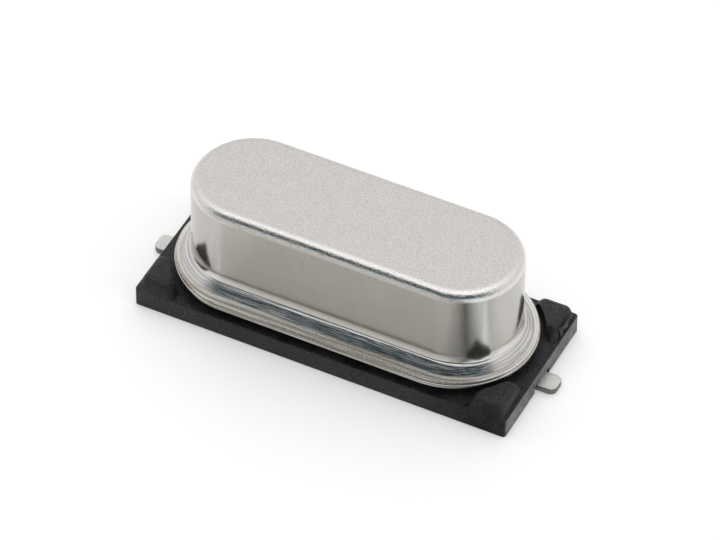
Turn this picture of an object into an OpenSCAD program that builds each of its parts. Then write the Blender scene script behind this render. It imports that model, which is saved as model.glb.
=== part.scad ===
// Surface-mount quartz crystal: a drawn metal can welded to a header on a moulded insulator base.
// Millimetres. The origin is the centre of the base underside, X runs along the length, Z is up.

/* [Insulator base] */
// Distance from the header rim out to the end of the base
base_end_margin = 0.315; // [0.2:0.005:0.6]
// Distance from the header rim out to the side of the base
base_side_margin = 0.015; // [0:0.005:0.3]
// Thickness of the base plate
plate_height = 0.6; // [0.5:0.05:0.9]
// Plan radius of the plate corners
plate_corner = 0.1; // [0.05:0.01:0.2]
// Height of the raised seat that carries the header
seat_rise = 0.32; // [0.25:0.01:0.6]
// Distance from the header rim in to the seat
seat_inset = 0.45; // [0.3:0.05:0.6]
// Height of the corner posts over the plate
post_rise = 0.42; // [0.3:0.02:0.6]
// Foot of a corner post along X
post_run = 1.1; // [0.9:0.05:1.2]
// Foot of a corner post along Y
post_breadth = 1.35; // [1.1:0.05:1.5]
// Ledge between the end face of the base and a post
post_inset = 0.1; // [0.05:0.01:0.2]
// Lean of the long post faces from foot to top
post_lean = 0.18; // [0.1:0.01:0.22]
// Lean of the post end face from foot to top
post_end_lean = 0.06; // [0.02:0.01:0.1]
// Plan radius of the outer post edge at its foot
post_corner = 0.25; // [0.15:0.01:0.3]
// Radius of the upper post edges
post_round = 0.12; // [0.05:0.01:0.15]
// Clearance between the header rim and the posts
post_gap = 0.16; // [0.1:0.01:0.3]

/* [Can cover] */
// Outside length of the can over its wall
can_length = 9.85; // [9.5:0.01:10.1]
// Outside width of the can over its wall
can_width = 3.49; // [3.3:0.01:3.7]
// Height of the can over the weld face
can_height = 2.92; // [2.7:0.01:3.5]
// Thickness of the drawn sheet
can_wall = 0.25; // [0.2:0.01:0.3]
// Outside radius of the crown edge
crown_radius = 0.28; // [0.2:0.01:0.4]
// Thickness of the flat flange that is welded to the header
flange_thickness = 0.1; // [0.08:0.01:0.16]
// Height of the sloping foot between the flange and the wall
foot_rise = 0.24; // [0.2:0.01:0.3]
// Radius of the upper edge of the sloping foot
foot_round = 0.18; // [0.1:0.01:0.22]

/* [Header] */
// Reach of the header rim past the can wall at its ends
rim_end_reach = 0.46; // [0.42:0.01:0.6]
// Reach of the header rim past the can wall at its sides
rim_side_reach = 0.59; // [0.5:0.01:0.7]
// Step from the can flange out to the header rim
rim_step = 0.03; // [0.02:0.005:0.06]
// Thickness of the header rim
rim_thickness = 0.12; // [0.1:0.01:0.2]
// Radius of the edges of the rim and of the flange, which leaves the groove of the weld seam
rim_round = 0.035; // [0.02:0.005:0.045]
// Height of the plateau inside the can
plateau_rise = 0.3; // [0.2:0.02:0.4]
// Clearance between the plateau and the can wall
plateau_gap = 0.12; // [0.05:0.01:0.2]
// Diameter of the glass seals
seal_diameter = 1.3; // [1:0.05:1.6]

/* [Leads] */
// Distance between the two pins
pin_pitch = 4.88; // [4.6:0.02:5.2]
// Diameter of the lead wire
wire_diameter = 0.43; // [0.35:0.01:0.5]
// Centre-line radius of the lead bend
bend_radius = 0.45; // [0.4:0.01:0.5]
// Length over which the wire is pressed flat
flatten_run = 0.6; // [0.4:0.05:0.9]
// Width of the flattened tab
tab_width = 0.62; // [0.5:0.02:0.8]
// Thickness of the flattened tab
tab_thickness = 0.22; // [0.18:0.01:0.3]
// Plan radius of the tab corners
tab_corner = 0.2; // [0.1:0.01:0.24]
// Reach of the tab past the end of the base
tab_reach = 0.52; // [0.3:0.02:0.7]
// Side clearance of the tab in its groove
groove_gap = 0.16; // [0.08:0.01:0.25]
// Clearance around a pin and its bend in the base
pin_gap = 0.06; // [0.03:0.01:0.1]
// Height of the pin end over the plateau
pin_stand = 0.15; // [0.1:0.01:0.2]

/* [Quartz element] */
// Clearance between the ends of the quartz strip and the can wall
strip_end_gap = 0.715; // [0.6:0.005:0.9]
// Clearance between the quartz strip and the can roof
strip_top_gap = 0.13; // [0.1:0.01:0.5]
// Thickness of the quartz strip
blank_thickness = 0.2; // [0.12:0.01:0.3]
// Bare quartz from the strip end to the electrode field
electrode_end_margin = 1.9; // [1.4:0.1:2.4]
// Bare quartz along the long edges of the electrode field
electrode_edge_margin = 0.25; // [0.15:0.01:0.4]
// Upright width of the electrode lead-out strip
lead_out_width = 0.5; // [0.3:0.05:0.6]
// Thickness of the electrode film
film_thickness = 0.02; // [0.01:0.005:0.03]
// Thickness of the clip sheet
clip_thickness = 0.12; // [0.08:0.01:0.15]
// Width of a clip
clip_width = 1; // [0.8:0.05:1.2]
// Length of the clip foot inward of its pin
clip_heel = 0.35; // [0.25:0.05:0.5]
// Height of the slot floor over the clip foot
slot_floor = 0.1; // [0.05:0.01:0.12]
// Distance from the top of the strip down to the clip ends
clip_top_drop = 0.4; // [0.3:0.01:0.45]
// Clearance on each side of the strip in its slot
slot_gap = 0.06; // [0.04:0.01:0.1]
// Length of the strip that stands out past a clip
strip_overhang = 0.14; // [0.1:0.01:0.2]
// Radius of the adhesive bead
bead_radius = 0.38; // [0.3:0.01:0.4]

/* [Hidden] */
$fn = 96;
wire_radius = wire_diameter / 2;
pin_x = pin_pitch / 2;
foot_reach = foot_rise + foot_round * (sqrt(2) - 1);
straight = can_length - can_width;
can_radius = can_width / 2;
rim_radius = can_radius + rim_side_reach;
rim_straight = can_length + 2 * rim_end_reach - 2 * rim_radius;
seat_top = plate_height + seat_rise;
weld_face = seat_top + rim_thickness;
flange_top = weld_face + flange_thickness;
plateau_top = weld_face + plateau_rise;
plateau_radius = can_radius - can_wall - plateau_gap;
pin_top = plateau_top + pin_stand;
clip_foot_top = pin_top + clip_thickness;
blank_bottom = clip_foot_top + slot_floor;
blank_top = weld_face + can_height - can_wall - strip_top_gap;
blank_width = blank_top - blank_bottom;
blank_middle = (blank_bottom + blank_top) / 2;
blank_length = can_length - 2 * can_wall - 2 * strip_end_gap;
electrode_length = blank_length - 2 * electrode_end_margin;
electrode_width = blank_width - 2 * electrode_edge_margin;
clip_grip = blank_width - clip_top_drop;
clip_outer = blank_length / 2 - strip_overhang;
base_end = rim_straight / 2 + rim_radius + base_end_margin;
base_length = 2 * base_end;
base_width = 2 * (rim_radius + base_side_margin);
flat_start = pin_x + bend_radius + flatten_run;
pocket_depth = wire_radius + bend_radius + pin_gap;
groove_width = tab_width + 2 * groove_gap;
slice = 0.01;
margin = 1;

// Solid swept from a half section round a plan of two half circles and two straights.
module oblong(run) {
    for (side = [-1, 1])
        translate([side * run / 2, 0, 0])
            rotate([0, 0, -90 * side])
                rotate_extrude(angle = 180)
                    children();
    for (flip = [0, 1])
        mirror([0, flip, 0])
            translate([-run / 2, 0, 0])
                rotate([90, 0, 90])
                    linear_extrude(run)
                        children();
}

// Half section with one rounded upper outer corner.
module rounded_half(radius, low, high, corner) {
    translate([0, low])
        square([radius - corner, high - low]);
    translate([0, low])
        square([radius, high - low - corner]);
    intersection() {
        translate([radius - corner, high - corner])
            circle(corner);
        translate([radius - corner, high - corner])
            square(corner);
    }
}

// Half section of a flat rim with both edges rounded.
module rim_half(radius, low, high) {
    intersection() {
        rounded_half(radius, low - margin, high, rim_round);
        translate([0, low + high])
            mirror([0, 1])
                rounded_half(radius, low - margin, high, rim_round);
    }
}

// Outside half section of the can: wall, crown edge and sloping foot.
module can_outer_half() {
    foot_top = flange_top + foot_rise;
    knee = foot_round * sqrt(0.5);
    rounded_half(can_radius, weld_face, weld_face + can_height, crown_radius);
    polygon([
        [0, weld_face], [can_radius + foot_reach, weld_face], [can_radius + foot_reach, flange_top],
        [can_radius + knee, foot_top - foot_round + knee], [0, foot_top - foot_round + knee]
    ]);
    translate([can_radius, foot_top - foot_round])
        intersection() {
            circle(foot_round);
            square(foot_round);
        }
}

// Drawn cover with its rounded crown, its sloping foot and the flange that is welded to the header.
module can_cover() {
    color([0.78, 0.77, 0.75])
        difference() {
            union() {
                oblong(straight)
                    can_outer_half();
                oblong(rim_straight)
                    rim_half(rim_radius - rim_step, weld_face, flange_top);
            }
            oblong(straight)
                rounded_half(can_radius - can_wall, weld_face - margin,
                    weld_face + can_height - can_wall, crown_radius - can_wall / 2);
        }
}

// Header: the rim under the can flange and the plateau inside the can, bored for the seals.
module header_plate() {
    color([0.7, 0.68, 0.64])
        difference() {
            union() {
                oblong(rim_straight)
                    rim_half(rim_radius, seat_top, weld_face);
                oblong(straight)
                    translate([0, seat_top + rim_thickness / 2])
                        square([plateau_radius, plateau_top - seat_top - rim_thickness / 2]);
            }
            for (side = [-1, 1])
                translate([side * pin_x, 0, seat_top - margin])
                    cylinder(d = seal_diameter, h = plateau_top - seat_top + 2 * margin);
        }
}

// Glass ring that holds one pin in the header.
module glass_seal(side) {
    color([0.35, 0.5, 0.45])
        translate([side * pin_x, 0, seat_top])
            difference() {
                cylinder(d = seal_diameter, h = plateau_top - seat_top);
                translate([0, 0, -margin])
                    cylinder(d = wire_diameter, h = plateau_top - seat_top + 2 * margin);
            }
}

// Plan of the flattened tab with its rounded tip corners.
module tab_plan() {
    tip = base_end + tab_reach;
    translate([flat_start, -tab_width / 2])
        square([tip - tab_corner - flat_start, tab_width]);
    translate([flat_start, tab_corner - tab_width / 2])
        square([tip - flat_start, tab_width - 2 * tab_corner]);
    for (edge = [-1, 1])
        translate([tip - tab_corner, edge * (tab_width / 2 - tab_corner)])
            circle(tab_corner);
}

// Lead on the +X side: upright pin, bend, and the run that is pressed flat to a tab.
module lead() {
    bend_top = wire_radius + bend_radius;
    color([0.82, 0.81, 0.79]) {
        translate([pin_x, 0, bend_top])
            cylinder(d = wire_diameter, h = pin_top - bend_top);
        translate([pin_x + bend_radius, 0, bend_top])
            rotate([90, 0, 0])
                rotate([0, 0, 180])
                    rotate_extrude(angle = 90)
                        translate([bend_radius, 0])
                            circle(wire_radius, $fn = 32);
        translate([pin_x + bend_radius, 0, wire_radius])
            rotate([0, 90, 0])
                cylinder(d = wire_diameter, h = 2 * slice, $fn = 32);
        hull() {
            translate([pin_x + bend_radius, 0, wire_radius])
                rotate([0, 90, 0])
                    cylinder(d = wire_diameter, h = slice, $fn = 32);
            translate([flat_start, -tab_width / 2, 0])
                cube([slice, tab_width, tab_thickness]);
        }
        linear_extrude(tab_thickness)
            tab_plan();
    }
}

// Plan of the base plate with its rounded corners.
module plate_plan() {
    half_x = base_end - plate_corner;
    half_y = base_width / 2 - plate_corner;
    square([2 * half_x, base_width], center = true);
    square([base_length, 2 * half_y], center = true);
    for (x = [-half_x, half_x], y = [-half_y, half_y])
        translate([x, y])
            circle(plate_corner, $fn = 48);
}

// Upright post section with leaning sides and rounded top corners.
module post_section(near, far, near_lean, far_lean) {
    top = plate_height + post_rise;
    near_side = norm([near_lean, post_rise]);
    far_side = norm([far_lean, post_rise]);
    near_cut = post_round * (near_side - near_lean) / post_rise;
    far_cut = post_round * (far_side - far_lean) / post_rise;
    near_top = near + near_lean;
    far_top = far - far_lean;
    polygon([
        [near, plate_height], [far, plate_height],
        [far_top + far_lean * far_cut / far_side, top - post_rise * far_cut / far_side],
        [far_top - far_cut, top], [near_top + near_cut, top],
        [near_top - near_lean * near_cut / near_side, top - post_rise * near_cut / near_side]
    ]);
    for (x = [near_top + near_cut, far_top - far_cut])
        translate([x, top - post_round])
            circle(post_round, $fn = 48);
}

// Post at the +X +Y corner before the can clearance is taken off.
module post_block() {
    outer_x = base_end - post_inset;
    outer_y = base_width / 2;
    difference() {
        intersection() {
            translate([0, outer_y + margin, 0])
                rotate([90, 0, 0])
                    linear_extrude(outer_y + margin)
                        post_section(outer_x - post_run, outer_x, post_lean, post_end_lean);
            rotate([90, 0, 90])
                linear_extrude(outer_x + margin)
                    post_section(outer_y - post_breadth, outer_y, post_lean, post_lean);
        }
        translate([outer_x - post_corner, outer_y - post_corner, plate_height - margin])
            linear_extrude(post_rise + 2 * margin)
                difference() {
                    square(post_corner + margin);
                    circle(post_corner);
                }
    }
}

// Moulded base: plate, header seat, corner posts, pin holes and the lead grooves below.
module insulator_base() {
    color([0.16, 0.16, 0.16])
        difference() {
            union() {
                linear_extrude(plate_height)
                    plate_plan();
                oblong(rim_straight)
                    translate([0, plate_height / 2])
                        square([rim_radius - seat_inset, seat_top - plate_height / 2]);
                difference() {
                    for (x = [0, 1], y = [0, 1])
                        mirror([x, 0, 0])
                            mirror([0, y, 0])
                                post_block();
                    oblong(rim_straight)
                        translate([0, plate_height])
                            square([rim_radius + post_gap, post_rise + margin]);
                }
            }
            for (x = [0, 1])
                mirror([x, 0, 0])
                    lead_channel();
        }
}

// Space in the base for one lead: pin hole, bend pocket and the shallow tab groove.
module lead_channel() {
    pocket_start = pin_x - wire_radius - pin_gap;
    translate([pin_x, 0, -margin])
        cylinder(r = wire_radius + pin_gap, h = seat_top + 2 * margin);
    translate([pocket_start, -groove_width / 2, -margin])
        cube([flat_start + pin_gap - pocket_start, groove_width, pocket_depth + margin]);
    translate([flat_start, -groove_width / 2, -margin])
        cube([base_end + margin - flat_start, groove_width, tab_thickness + margin]);
}

// Sheet clip on the +X side: a foot on the pin end and a slotted riser for the strip.
module support_clip() {
    color([0.72, 0.71, 0.68])
        difference() {
            union() {
                translate([pin_x - clip_heel, -clip_width / 2, pin_top])
                    cube([clip_outer - pin_x + clip_heel, clip_width, clip_thickness]);
                translate([clip_outer - clip_thickness, -clip_width / 2, pin_top])
                    cube([clip_thickness, clip_width, blank_bottom + clip_grip - pin_top]);
            }
            translate([clip_outer - clip_thickness - margin, -blank_thickness / 2 - slot_gap, blank_bottom])
                cube([clip_thickness + 2 * margin, blank_thickness + 2 * slot_gap, clip_grip + margin]);
        }
}

// Quartz strip standing on edge along the can.
module quartz_blank() {
    color([0.85, 0.88, 0.9, 0.6])
        translate([-blank_length / 2, -blank_thickness / 2, blank_bottom])
            cube([blank_length, blank_thickness, blank_width]);
}

// Metal film on the -Y face of the strip with its lead-out to the -X end.
module electrode_front() {
    color([0.88, 0.88, 0.86])
        translate([0, -blank_thickness / 2 - film_thickness, blank_middle]) {
            translate([-electrode_length / 2, 0, -electrode_width / 2])
                cube([electrode_length, film_thickness, electrode_width]);
            translate([-blank_length / 2, 0, -lead_out_width / 2])
                cube([(blank_length - electrode_length) / 2 + slice, film_thickness, lead_out_width]);
        }
}

// Bead of conductive adhesive on the +X end of the strip, against the clip riser.
module bead() {
    difference() {
        translate([clip_outer, 0, blank_middle])
            sphere(bead_radius);
        translate([clip_outer - margin, -margin, blank_middle - margin])
            cube([margin, 2 * margin, 2 * margin]);
        quartz_blank();
    }
}

// Bead at the -X end, which covers the front lead-out.
module adhesive_left() {
    color([0.6, 0.6, 0.58])
        difference() {
            mirror([1, 0, 0])
                bead();
            electrode_front();
        }
}

can_cover();
header_plate();
glass_seal(-1);  // glass_seal_left
glass_seal(1);  // glass_seal_right
mirror([1, 0, 0]) lead();  // lead_left
lead();  // lead_right
insulator_base();
mirror([1, 0, 0]) support_clip();  // support_clip_left
support_clip();  // support_clip_right
quartz_blank();
electrode_front();
rotate([0, 0, 180]) electrode_front();  // electrode_rear
adhesive_left();
rotate([0, 0, 180]) adhesive_left();  // adhesive_right
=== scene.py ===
"""Surface-mount quartz crystal: a satin nickel can welded to a header, on a black base with two lead tabs."""

import math

import bmesh
import bpy
from mathutils import Matrix, Vector


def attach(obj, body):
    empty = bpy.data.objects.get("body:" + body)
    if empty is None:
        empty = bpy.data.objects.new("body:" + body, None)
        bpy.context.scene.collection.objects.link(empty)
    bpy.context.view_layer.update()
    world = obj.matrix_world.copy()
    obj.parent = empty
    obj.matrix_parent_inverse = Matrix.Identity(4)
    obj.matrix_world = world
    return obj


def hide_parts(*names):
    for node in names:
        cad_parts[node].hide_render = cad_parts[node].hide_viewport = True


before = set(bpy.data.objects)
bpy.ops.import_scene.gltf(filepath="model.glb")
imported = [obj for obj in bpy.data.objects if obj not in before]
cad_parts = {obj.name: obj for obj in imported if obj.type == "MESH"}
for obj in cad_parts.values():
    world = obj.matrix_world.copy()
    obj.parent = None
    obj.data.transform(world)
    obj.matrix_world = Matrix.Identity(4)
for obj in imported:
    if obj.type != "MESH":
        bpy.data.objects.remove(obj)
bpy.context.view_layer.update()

MILLIMETRE = 0.001
QUARTER_TURN = math.pi / 2

# Can, in millimetres; heights are above the circuit board
CAN_LENGTH = 9.85
CAN_WIDTH = 3.49
CAN_TOP = 3.96
CAN_WALL = 0.25
CROWN_RADIUS = 0.28

# Foot of the can: the flare of the wall, a hollow, a shelf that ends in a lip, and the slope to the flange
FLARE_TOP = 1.65
FLARE_RADIUS = 0.79
FLARE_TURN = math.radians(15)
FOOT_HOLLOW = 0.08
FOOT_SHELF = 0.05
FOOT_LIP = math.radians(36)
FOOT_ROUND = 0.05
FOOT_SLOPE = math.radians(49)

# Welded rim and header
RIM_END_REACH = 0.46
RIM_SIDE_REACH = 0.59
RIM_STEP = 0.03
RIM_ROUND = 0.035
SEAT_TOP = 0.92
WELD_FACE = 1.04
FLANGE_TOP = 1.14
PLATEAU_TOP = 1.34
PLATEAU_GAP = 0.12
SEAL_RADIUS = 0.65
PIN_X = 2.44

# Moulded base
BASE_END = 5.7
BASE_SIDE = 2.35
PLATE_HEIGHT = 0.6
PLATE_CORNER = 0.1
PLATE_EDGE = 0.03
SEAT_INSET = 0.45
POST_RISE = 0.42
POST_RUN = 1.1
POST_BREADTH = 1.35
POST_INSET = 0.1
POST_LEAN = 0.18
POST_END_LEAN = 0.06
POST_ROUND = 0.17
POST_GAP = 0.16
GROOVE_WIDTH = 0.94
POCKET_DEPTH = 0.725
PIN_GAP = 0.06

# Broken stub of the moulding gate, on the end of the right back post
GATE_INSET = 0.07
GATE_DEPTH = 0.25
GATE_NEAR = 1.3
GATE_FAR = 2.05
GATE_LOW = 0.33
GATE_HIGH = 0.88
GATE_SKIN = 0.1
GATE_ROUGHNESS = 0.06
GATE_CUTS = 5
GATE_SEED = 4

# Leads
WIRE_RADIUS = 0.215
BEND_RADIUS = 0.45
FLAT_START = 3.49
PIN_TOP = 1.49
TAB_WIDTH = 0.62
TAB_THICKNESS = 0.22
TAB_CORNER = 0.2
TAB_REACH = 0.52
TAB_EDGE = 0.04

# Sizes that follow from those above
CAN_RADIUS = CAN_WIDTH / 2
STRAIGHT = CAN_LENGTH - CAN_WIDTH
RIM_RADIUS = CAN_RADIUS + RIM_SIDE_REACH
RIM_STRAIGHT = CAN_LENGTH + 2 * RIM_END_REACH - 2 * RIM_RADIUS
TAB_TIP = BASE_END + TAB_REACH
HOLLOW_MIDDLE = FLARE_TOP - (FLARE_RADIUS - FOOT_HOLLOW) * math.sin(FLARE_TURN)
LIP_TOP = HOLLOW_MIDDLE - FOOT_HOLLOW * math.cos(FOOT_LIP) - FOOT_SHELF * math.sin(FOOT_LIP)

# Steps of the round stretches
SWEEP_STEPS = 64
CROWN_STEPS = 16
INNER_CROWN_STEPS = 8
FLARE_STEPS = 6
HOLLOW_STEPS = 10
LIP_STEPS = 8
RIM_STEPS = 6
PLATE_CORNER_STEPS = 6
PLATE_EDGE_STEPS = 3
POST_STEPS = 8
TAB_CORNER_STEPS = 8
TAB_EDGE_STEPS = 4
BEND_STEPS = 14
TAPER_CUTS = 6
WIRE_SIDES = 32
PIN_HOLE_SIDES = 48
SEAL_HOLE_SIDES = 64

# Cutters: how far they reach past the cut, and the length of the drill
OVERREACH = 1
DRILL_LENGTH = 3

# Closer than these counts as the same; a face whose normal is past FACING along an axis faces that way
SAME_POINT = 0.0005
SAME_HEIGHT = 0.0001
SAME_END = 0.01
FACING = 0.9

# Angles, in degrees, above which an edge stays sharp
NICKEL_SHARP = 35
MOULDING_SHARP = 30
TIN_SHARP = 40

# Camera, as the picture was taken; angles in degrees, the rest in millimetres
CAMERA_AZIMUTH = 26.144
CAMERA_ELEVATION = 44.556
CAMERA_ROLL = 0.691
CAMERA_TARGET = (0.6396, -1.0925, 3.057)
CAMERA_DISTANCE = 163.433
CAMERA_LENS = 300
CAMERA_SENSOR = 36
CAMERA_CLIP = 10

# White room, lengths in millimetres; the colours of its sides are seen in the metal only
WORLD_FILL = 0.75
FLOOR_LIFT = 0.19
FLOOR_SIZE = 4000
LAMP_DISTANCE = 90
WHITE = (1.0, 1.0, 1.0)
ROOM_LOW = (0.8, 0.8, 0.8)
CEILING = (1.45, 1.45, 1.45)
NEAR_SIDE = (0.233, -0.972, 0)
NEAR_WALL = (0.03, 0.055, 0.065)
NEAR_SKIRTING = (0.54, 0.57, 0.575)
CORNER_SIDE = (0.755, -0.656, 0)
CORNER_SKIRTING = (0.1, 0.12, 0.13)
WINDOW_LIGHT = (1.1, 1.38, 1.48)


# Helpers for modelling

def clear_selection():
    """Leaves edit mode with nothing selected."""
    if bpy.context.mode != "OBJECT":
        bpy.ops.object.mode_set(mode="OBJECT")
    bpy.ops.object.select_all(action="DESELECT")


def take(piece):
    """Makes one piece the only selected and active one."""
    clear_selection()
    piece.select_set(True)
    bpy.context.view_layer.objects.active = piece


def pick(piece, mode, test):
    """Selects, in edit mode, the vertices, edges or faces that pass the test, and nothing else."""
    bpy.ops.mesh.select_mode(type=mode)
    bpy.ops.mesh.select_all(action="DESELECT")
    mesh = bmesh.from_edit_mesh(piece.data)
    for element in {"VERT": mesh.verts, "EDGE": mesh.edges, "FACE": mesh.faces}[mode]:
        element.select_set(test(element))
    mesh.select_flush_mode()
    bmesh.update_edit_mesh(piece.data)


def pick_vertices(piece, test):
    """Selects the vertices whose place passes the test."""
    pick(piece, "VERT", lambda vertex: test(vertex.co))


def pick_edges(piece, test):
    """Selects the edges whose two ends pass the test."""
    pick(piece, "EDGE", lambda edge: test(edge.verts[0].co, edge.verts[1].co))


def pick_open_edges(piece, test):
    """Selects the edges of open rims whose two ends pass the test."""
    pick(piece, "EDGE", lambda edge: edge.is_boundary and test(edge.verts[0].co, edge.verts[1].co))


def pick_faces(piece, test):
    """Selects the faces whose middle and normal pass the test."""
    pick(piece, "FACE", lambda face: test(face.calc_center_median(), face.normal))


def begin_wire(name, point):
    """Opens a new mesh in edit mode with one vertex, selected."""
    clear_selection()
    bpy.ops.mesh.primitive_plane_add(location=(0, 0, 0))
    piece = bpy.context.active_object
    piece.name = name
    bpy.ops.object.mode_set(mode="EDIT")
    bpy.ops.mesh.select_mode(type="VERT")
    bpy.ops.mesh.select_all(action="SELECT")
    bpy.ops.mesh.merge(type="CENTER")
    bpy.ops.transform.translate(value=point)
    return piece


def draw_out(shift):
    """Extrudes what is selected by a shift."""
    bpy.ops.mesh.extrude_region_move(TRANSFORM_OT_translate={"value": shift})


def draw_line(across, up):
    """Carries the section wire on by a straight line in the YZ plane."""
    draw_out((0, across, up))


def draw_arc(centre, angle, steps):
    """Carries the section wire on by an arc in the YZ plane; the spin operator counts turns the other way."""
    bpy.ops.mesh.spin(steps=steps, angle=-angle, center=centre, axis=(1, 0, 0))


def sweep_oblong(run):
    """Carries the drawn section round two half circles and two straights, and closes the ring."""
    bpy.ops.mesh.select_all(action="SELECT")
    for side in (1, -1):
        bpy.ops.mesh.spin(
            steps=SWEEP_STEPS, angle=-math.pi, center=(side * run / 2, 0, 0), axis=(0, 0, 1))
        draw_out((-side * run, 0, 0))
    bpy.ops.mesh.select_all(action="SELECT")
    bpy.ops.mesh.remove_doubles(threshold=SAME_POINT)


def close_ring(piece, height):
    """Closes the open rim at one height with a flat face."""
    pick_open_edges(piece, lambda a, b: max(abs(a.z - height), abs(b.z - height)) < SAME_HEIGHT)
    bpy.ops.mesh.edge_face_add()


def round_edges(radius, steps):
    """Rounds the selected edges."""
    bpy.ops.mesh.bevel(offset=radius, segments=steps, affect="EDGES")


def turn_outwards():
    """Points every face of the closed mesh in edit mode outwards, and leaves that mode."""
    bpy.ops.mesh.select_all(action="SELECT")
    bpy.ops.mesh.normals_make_consistent(inside=False)
    bpy.ops.object.mode_set(mode="OBJECT")


def block(name, low, high):
    """A cube brought to the box between two corners, left in edit mode."""
    clear_selection()
    bpy.ops.mesh.primitive_cube_add(size=1, location=(0, 0, 0))
    piece = bpy.context.active_object
    piece.name = name
    bpy.ops.object.mode_set(mode="EDIT")
    bpy.ops.mesh.select_all(action="SELECT")
    bpy.ops.transform.resize(value=[b - a for a, b in zip(low, high)])
    bpy.ops.transform.translate(value=[(a + b) / 2 for a, b in zip(low, high)])
    return piece


def oblong_block(name, run, radius, low, high):
    """A solid of oblong plan between two heights."""
    piece = begin_wire(name, (run / 2, -radius, low))
    draw_line(0, high - low)
    sweep_oblong(run)
    close_ring(piece, high)
    close_ring(piece, low)
    turn_outwards()
    return piece


def mirrored_copy(piece, name, turn):
    """A copy with its own mesh, mirrored through the middle of the part."""
    take(piece)
    bpy.ops.object.duplicate(linked=False)
    copy = bpy.context.active_object
    copy.name = name
    bpy.ops.object.mode_set(mode="EDIT")
    bpy.ops.mesh.select_all(action="SELECT")
    bpy.ops.transform.resize(value=turn, center_override=(0, 0, 0))
    turn_outwards()
    return copy


def combine(piece, tool, operation):
    """Joins a piece with another mesh or cuts it, and uses that mesh up."""
    take(piece)
    bpy.ops.object.modifier_add(type="BOOLEAN")
    step = piece.modifiers[-1]
    step.operation = operation
    step.solver = "EXACT"
    step.object = tool
    bpy.ops.object.modifier_apply(modifier=step.name)
    bpy.data.objects.remove(tool, do_unlink=True)


def drill(piece, x, height, radius, sides):
    """Drills an upright round hole through a piece."""
    clear_selection()
    bpy.ops.mesh.primitive_cylinder_add(
        vertices=sides, radius=radius, depth=DRILL_LENGTH, location=(x, 0, height))
    combine(piece, bpy.context.active_object, "DIFFERENCE")


def cut_box(piece, name, low, high):
    """Cuts a box between two corners out of a piece."""
    box = block(name, low, high)
    turn_outwards()
    combine(piece, box, "DIFFERENCE")


def place_piece(piece, node, sharp_angle):
    """Shades a piece, brings it from millimetres to metres and sets it on the frame in place of its solid."""
    take(piece)
    bpy.ops.object.transform_apply(location=True, rotation=True, scale=True)
    piece.scale = (MILLIMETRE, MILLIMETRE, MILLIMETRE)
    bpy.ops.object.transform_apply(location=False, rotation=False, scale=True)
    bpy.ops.object.shade_smooth_by_angle(angle=math.radians(sharp_angle))
    bpy.ops.object.modifier_add(type="WEIGHTED_NORMAL")
    piece.modifiers[-1].keep_sharp = True
    bpy.ops.object.modifier_apply(modifier=piece.modifiers[-1].name)
    piece.data.name = piece.name
    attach(piece, "root")
    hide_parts(node)
    return piece


# Pieces

def oblong_rim(name, radius, low, high):
    """A flat oblong plate whose two outer edges are rounded."""
    x = RIM_STRAIGHT / 2
    piece = begin_wire(name, (x, RIM_ROUND - radius, high))
    draw_arc((x, RIM_ROUND - radius, high - RIM_ROUND), QUARTER_TURN, RIM_STEPS)
    draw_line(0, low - high + 2 * RIM_ROUND)
    draw_arc((x, RIM_ROUND - radius, low + RIM_ROUND), QUARTER_TURN, RIM_STEPS)
    sweep_oblong(RIM_STRAIGHT)
    close_ring(piece, high)
    close_ring(piece, low)
    turn_outwards()
    return piece


def draw_foot(x, bottom):
    """Carries the can's section wire on from the wall: flare, hollow, shelf, lip, and slope to the bottom."""
    flare_y = -CAN_RADIUS - FLARE_RADIUS
    hollow_y = flare_y + (FLARE_RADIUS - FOOT_HOLLOW) * math.cos(FLARE_TURN)
    shelf_y = -FOOT_SHELF * math.cos(FOOT_LIP)
    shelf_z = -FOOT_SHELF * math.sin(FOOT_LIP)
    lip_y = hollow_y + (FOOT_HOLLOW + FOOT_ROUND) * math.sin(FOOT_LIP) + shelf_y
    lip_z = HOLLOW_MIDDLE - (FOOT_HOLLOW + FOOT_ROUND) * math.cos(FOOT_LIP) + shelf_z
    drop = lip_z + FOOT_ROUND * math.cos(FOOT_SLOPE) - bottom
    draw_arc((x, flare_y, FLARE_TOP), -FLARE_TURN, FLARE_STEPS)
    draw_arc((x, hollow_y, HOLLOW_MIDDLE), FOOT_LIP + FLARE_TURN - QUARTER_TURN, HOLLOW_STEPS)
    draw_line(shelf_y, shelf_z)
    draw_arc((x, lip_y, lip_z), FOOT_SLOPE - FOOT_LIP, LIP_STEPS)
    draw_line(-drop / math.tan(FOOT_SLOPE), -drop)


def can_hollow():
    """The room inside the can, as a solid to cut away; it reaches down past the weld face."""
    x = STRAIGHT / 2
    radius = CAN_RADIUS - CAN_WALL
    crown = CROWN_RADIUS - CAN_WALL / 2
    roof = CAN_TOP - CAN_WALL
    bottom = WELD_FACE - OVERREACH
    piece = begin_wire("hollow", (x, crown - radius, roof))
    draw_arc((x, crown - radius, roof - crown), QUARTER_TURN, INNER_CROWN_STEPS)
    draw_line(0, bottom - roof + crown)
    sweep_oblong(STRAIGHT)
    close_ring(piece, roof)
    close_ring(piece, bottom)
    turn_outwards()
    return piece


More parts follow.
